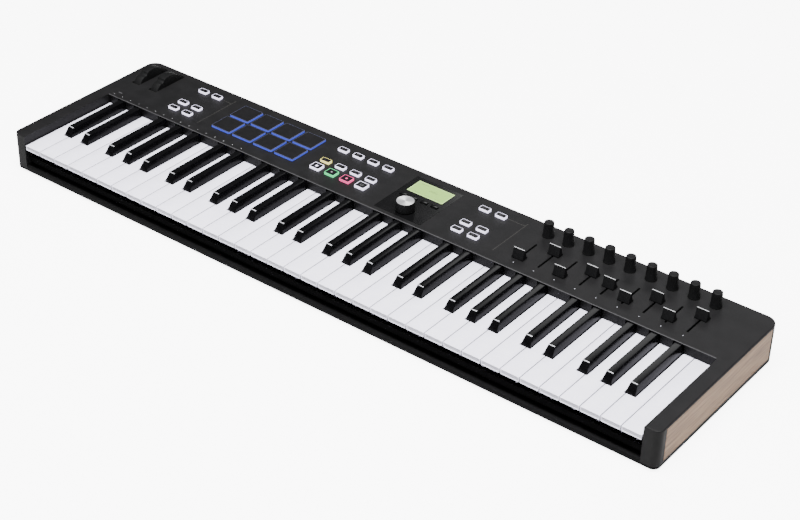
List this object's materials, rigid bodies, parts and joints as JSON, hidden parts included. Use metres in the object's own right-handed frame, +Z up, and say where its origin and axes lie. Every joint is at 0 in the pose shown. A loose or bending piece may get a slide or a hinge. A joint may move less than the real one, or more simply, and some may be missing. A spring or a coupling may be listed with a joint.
{
  "type": "keyboard synthesizer",
  "caption": "Long flat keyboard synthesizer with piano keys, pads, knobs, faders, wheels, a large dial and a small display; wood-inset ends.",
  "frame": {"origin": "middle of the footprint, on the surface that the rubber feet stand on", "axes": "+X along the keys from the low notes to the high notes, +Y from the player to the back, +Z up"},
  "size_m": [0.884, 0.237, 0.0684],
  "materials": {
    "charcoal_shell": "satin moulded charcoal plastic",
    "white_key": "smooth white moulded plastic",
    "black_key": "satin black moulded plastic",
    "wood_inset": "pale greyed wood with fine grain",
    "steel_frame": "blackened sheet steel",
    "spring_steel": "bare spring steel",
    "felt": "dense wool felt",
    "circuit_board": "glass-fibre circuit board with solder mask",
    "silicone": "grey silicone",
    "screen": "pale green lit display",
    "dark_window": "dark glossy acrylic",
    "socket_plate": "blackened steel plate",
    "socket_plastic": "black socket plastic",
    "pot_metal": "plated steel component cases",
    "foot_rubber": "soft black rubber",
    "screw_steel": "black zinc steel",
    "knob_plastic": "matte black soft-touch plastic",
    "fader_plastic": "matte black plastic with a white line",
    "wheel_rubber": "matte black rubberised plastic",
    "dial_cap": "turned aluminium top on a black skirt",
    "pad_rubber": "black rubber over a lit blue body",
    "button_plastic": "black top on a lit translucent body",
    "small_button": "small gloss black button",
    "shaft_metal": "turned steel shaft"
  },
  "bodies": {
    "case": {"top_case": "charcoal_shell", "bottom_case": "charcoal_shell", "side_insets": "wood_inset", "socket_plate": "socket_plate", "keybed_chassis": "steel_frame", "key_felts": "felt", "key_contact_board": "circuit_board", "contact_domes": "silicone", "key_spring_comb": "spring_steel", "panel_board": "circuit_board", "display_module": "screen", "display_window": "dark_window", "wheel_box": "steel_frame", "slide_pots": "pot_metal", "knob_encoders": "pot_metal", "rear_sockets": "socket_plastic", "rubber_feet": "foot_rubber", "case_screws": "screw_steel"},
    "c_keys_body": {"c_keys": "white_key"},
    "c_sharp_keys_body": {"c_sharp_keys": "black_key"},
    "d_keys_body": {"d_keys": "white_key"},
    "d_sharp_keys_body": {"d_sharp_keys": "black_key"},
    "e_keys_body": {"e_keys": "white_key"},
    "f_keys_body": {"f_keys": "white_key"},
    "f_sharp_keys_body": {"f_sharp_keys": "black_key"},
    "g_keys_body": {"g_keys": "white_key"},
    "g_sharp_keys_body": {"g_sharp_keys": "black_key"},
    "a_keys_body": {"a_keys": "white_key"},
    "a_sharp_keys_body": {"a_sharp_keys": "black_key"},
    "b_keys_body": {"b_keys": "white_key"},
    "top_c_key_body": {"top_c_key": "white_key"},
    "left_buttons_body": {"left_buttons": "button_plastic"},
    "centre_buttons_body": {"centre_buttons": "button_plastic"},
    "transport_buttons_body": {"transport_buttons": "button_plastic"},
    "display_buttons_body": {"display_buttons": "small_button"},
    "right_buttons_body": {"right_buttons": "button_plastic"},
    "rear_pads_body": {"rear_pads": "pad_rubber"},
    "front_pads_body": {"front_pads": "pad_rubber"},
    "knob_1_body": {"knob_1": "knob_plastic"},
    "knob_2_body": {"knob_2": "knob_plastic"},
    "knob_3_body": {"knob_3": "knob_plastic"},
    "knob_4_body": {"knob_4": "knob_plastic"},
    "knob_5_body": {"knob_5": "knob_plastic"},
    "knob_6_body": {"knob_6": "knob_plastic"},
    "knob_7_body": {"knob_7": "knob_plastic"},
    "knob_8_body": {"knob_8": "knob_plastic"},
    "knob_9_body": {"knob_9": "knob_plastic"},
    "fader_1_body": {"fader_1": "fader_plastic"},
    "fader_2_body": {"fader_2": "fader_plastic"},
    "fader_3_body": {"fader_3": "fader_plastic"},
    "fader_4_body": {"fader_4": "fader_plastic"},
    "fader_5_body": {"fader_5": "fader_plastic"},
    "fader_6_body": {"fader_6": "fader_plastic"},
    "fader_7_body": {"fader_7": "fader_plastic"},
    "fader_8_body": {"fader_8": "fader_plastic"},
    "fader_9_body": {"fader_9": "fader_plastic"},
    "pitch_wheel_body": {"pitch_wheel": "wheel_rubber"},
    "mod_wheel_body": {"mod_wheel": "wheel_rubber"},
    "encoder_rotor_body": {"encoder_rotor": "shaft_metal"},
    "encoder_knob_body": {"encoder_knob": "dial_cap"}
  },
  "joints": [
    {"name": "c_keys_hinge", "type": "hinge", "parent": "case", "child": "c_keys_body", "pos_m": [0, 0.0465, 0.03], "axis": [1, 0, 0], "range_deg": [0, 3.3], "stiffness_Nm_per_rad": 1.25, "springref_deg": -20.05, "deforming": ["contact_domes", "key_spring_comb"]},
    {"name": "c_sharp_keys_hinge", "type": "hinge", "parent": "case", "child": "c_sharp_keys_body", "pos_m": [0, 0.0465, 0.03], "axis": [1, 0, 0], "range_deg": [0, 3.3], "stiffness_Nm_per_rad": 1.25, "springref_deg": -20.05},
    {"name": "d_keys_hinge", "type": "hinge", "parent": "case", "child": "d_keys_body", "pos_m": [0, 0.0465, 0.03], "axis": [1, 0, 0], "range_deg": [0, 3.3], "stiffness_Nm_per_rad": 1.25, "springref_deg": -20.05},
    {"name": "d_sharp_keys_hinge", "type": "hinge", "parent": "case", "child": "d_sharp_keys_body", "pos_m": [0, 0.0465, 0.03], "axis": [1, 0, 0], "range_deg": [0, 3.3], "stiffness_Nm_per_rad": 1.25, "springref_deg": -20.05},
    {"name": "e_keys_hinge", "type": "hinge", "parent": "case", "child": "e_keys_body", "pos_m": [0, 0.0465, 0.03], "axis": [1, 0, 0], "range_deg": [0, 3.3], "stiffness_Nm_per_rad": 1.25, "springref_deg": -20.05},
    {"name": "f_keys_hinge", "type": "hinge", "parent": "case", "child": "f_keys_body", "pos_m": [0, 0.0465, 0.03], "axis": [1, 0, 0], "range_deg": [0, 3.3], "stiffness_Nm_per_rad": 1.25, "springref_deg": -20.05},
    {"name": "f_sharp_keys_hinge", "type": "hinge", "parent": "case", "child": "f_sharp_keys_body", "pos_m": [0, 0.0465, 0.03], "axis": [1, 0, 0], "range_deg": [0, 3.3], "stiffness_Nm_per_rad": 1.25, "springref_deg": -20.05},
    {"name": "g_keys_hinge", "type": "hinge", "parent": "case", "child": "g_keys_body", "pos_m": [0, 0.0465, 0.03], "axis": [1, 0, 0], "range_deg": [0, 3.3], "stiffness_Nm_per_rad": 1.25, "springref_deg": -20.05},
    {"name": "g_sharp_keys_hinge", "type": "hinge", "parent": "case", "child": "g_sharp_keys_body", "pos_m": [0, 0.0465, 0.03], "axis": [1, 0, 0], "range_deg": [0, 3.3], "stiffness_Nm_per_rad": 1.25, "springref_deg": -20.05},
    {"name": "a_keys_hinge", "type": "hinge", "parent": "case", "child": "a_keys_body", "pos_m": [0, 0.0465, 0.03], "axis": [1, 0, 0], "range_deg": [0, 3.3], "stiffness_Nm_per_rad": 1.25, "springref_deg": -20.05},
    {"name": "a_sharp_keys_hinge", "type": "hinge", "parent": "case", "child": "a_sharp_keys_body", "pos_m": [0, 0.0465, 0.03], "axis": [1, 0, 0], "range_deg": [0, 3.3], "stiffness_Nm_per_rad": 1.25, "springref_deg": -20.05},
    {"name": "b_keys_hinge", "type": "hinge", "parent": "case", "child": "b_keys_body", "pos_m": [0, 0.0465, 0.03], "axis": [1, 0, 0], "range_deg": [0, 3.3], "stiffness_Nm_per_rad": 1.25, "springref_deg": -20.05},
    {"name": "top_c_key_hinge", "type": "hinge", "parent": "case", "child": "top_c_key_body", "pos_m": [0, 0.0465, 0.03], "axis": [1, 0, 0], "range_deg": [0, 3.3], "stiffness_Nm_per_rad": 0.25, "springref_deg": -20.05},
    {"name": "knob_1_turn", "type": "hinge", "parent": "case", "child": "knob_1_body", "pos_m": [0.1702, 0.098, 0.058], "axis": [0, 0, 1], "continuous": true},
    {"name": "knob_2_turn", "type": "hinge", "parent": "case", "child": "knob_2_body", "pos_m": [0.1962, 0.098, 0.058], "axis": [0, 0, 1], "continuous": true},
    {"name": "knob_3_turn", "type": "hinge", "parent": "case", "child": "knob_3_body", "pos_m": [0.2222, 0.098, 0.058], "axis": [0, 0, 1], "continuous": true},
    {"name": "knob_4_turn", "type": "hinge", "parent": "case", "child": "knob_4_body", "pos_m": [0.2482, 0.098, 0.058], "axis": [0, 0, 1], "continuous": true},
    {"name": "knob_5_turn", "type": "hinge", "parent": "case", "child": "knob_5_body", "pos_m": [0.2742, 0.098, 0.058], "axis": [0, 0, 1], "continuous": true},
    {"name": "knob_6_turn", "type": "hinge", "parent": "case", "child": "knob_6_body", "pos_m": [0.3002, 0.098, 0.058], "axis": [0, 0, 1], "continuous": true},
    {"name": "knob_7_turn", "type": "hinge", "parent": "case", "child": "knob_7_body", "pos_m": [0.3262, 0.098, 0.058], "axis": [0, 0, 1], "continuous": true},
    {"name": "knob_8_turn", "type": "hinge", "parent": "case", "child": "knob_8_body", "pos_m": [0.3522, 0.098, 0.058], "axis": [0, 0, 1], "continuous": true},
    {"name": "knob_9_turn", "type": "hinge", "parent": "case", "child": "knob_9_body", "pos_m": [0.3782, 0.098, 0.058], "axis": [0, 0, 1], "continuous": true},
    {"name": "fader_1_slide", "type": "slide", "parent": "case", "child": "fader_1_body", "axis": [0, 1, 0], "range_m": [0, 0.03]},
    {"name": "fader_2_slide", "type": "slide", "parent": "case", "child": "fader_2_body", "axis": [0, 1, 0], "range_m": [-0.0298, 0.0002]},
    {"name": "fader_3_slide", "type": "slide", "parent": "case", "child": "fader_3_body", "axis": [0, 1, 0], "range_m": [0, 0.03]},
    {"name": "fader_4_slide", "type": "slide", "parent": "case", "child": "fader_4_body", "axis": [0, 1, 0], "range_m": [-0.0225, 0.0075]},
    {"name": "fader_5_slide", "type": "slide", "parent": "case", "child": "fader_5_body", "axis": [0, 1, 0], "range_m": [-0.0152, 0.0148]},
    {"name": "fader_6_slide", "type": "slide", "parent": "case", "child": "fader_6_body", "axis": [0, 1, 0], "range_m": [-0.004, 0.026]},
    {"name": "fader_7_slide", "type": "slide", "parent": "case", "child": "fader_7_body", "axis": [0, 1, 0], "range_m": [-0.0253, 0.0047]},
    {"name": "fader_8_slide", "type": "slide", "parent": "case", "child": "fader_8_body", "axis": [0, 1, 0], "range_m": [-0.0047, 0.0253]},
    {"name": "fader_9_slide", "type": "slide", "parent": "case", "child": "fader_9_body", "axis": [0, 1, 0], "range_m": [-0.0274, 0.0026]},
    {"name": "pitch_wheel_turn", "type": "hinge", "parent": "case", "child": "pitch_wheel_body", "pos_m": [-0.41675, 0.0845, 0.035], "axis": [1, 0, 0], "range_deg": [-28, 28], "stiffness_Nm_per_rad": 0.08},
    {"name": "mod_wheel_turn", "type": "hinge", "parent": "case", "child": "mod_wheel_body", "pos_m": [-0.38825, 0.0845, 0.035], "axis": [1, 0, 0], "range_deg": [-60, 0]},
    {"name": "encoder_turn", "type": "hinge", "parent": "case", "child": "encoder_rotor_body", "pos_m": [0.018, 0.0402, 0.056], "axis": [0, 0, 1], "continuous": true},
    {"name": "encoder_push", "type": "slide", "parent": "encoder_rotor_body", "child": "encoder_knob_body", "axis": [0, 0, -1], "range_m": [0, 0.0006], "stiffness_N_per_m": 2000, "springref_m": -0.001},
    {"name": "left_buttons_press", "type": "slide", "parent": "case", "child": "left_buttons_body", "axis": [0, 0, -1], "range_m": [0, 0.0008], "stiffness_N_per_m": 1500, "springref_m": -0.001},
    {"name": "centre_buttons_press", "type": "slide", "parent": "case", "child": "centre_buttons_body", "axis": [0, 0, -1], "range_m": [0, 0.0008], "stiffness_N_per_m": 1500, "springref_m": -0.001},
    {"name": "transport_buttons_press", "type": "slide", "parent": "case", "child": "transport_buttons_body", "axis": [0, 0, -1], "range_m": [0, 0.0008], "stiffness_N_per_m": 1500, "springref_m": -0.001},
    {"name": "display_buttons_press", "type": "slide", "parent": "case", "child": "display_buttons_body", "axis": [0, 0, -1], "range_m": [0, 0.0008], "stiffness_N_per_m": 1500, "springref_m": -0.001},
    {"name": "right_buttons_press", "type": "slide", "parent": "case", "child": "right_buttons_body", "axis": [0, 0, -1], "range_m": [0, 0.0008], "stiffness_N_per_m": 1500, "springref_m": -0.001},
    {"name": "rear_pads_press", "type": "slide", "parent": "case", "child": "rear_pads_body", "axis": [0, 0, -1], "range_m": [0, 0.0008], "stiffness_N_per_m": 3000, "springref_m": -0.001},
    {"name": "front_pads_press", "type": "slide", "parent": "case", "child": "front_pads_body", "axis": [0, 0, -1], "range_m": [0, 0.0008], "stiffness_N_per_m": 3000, "springref_m": -0.001}
  ]
}
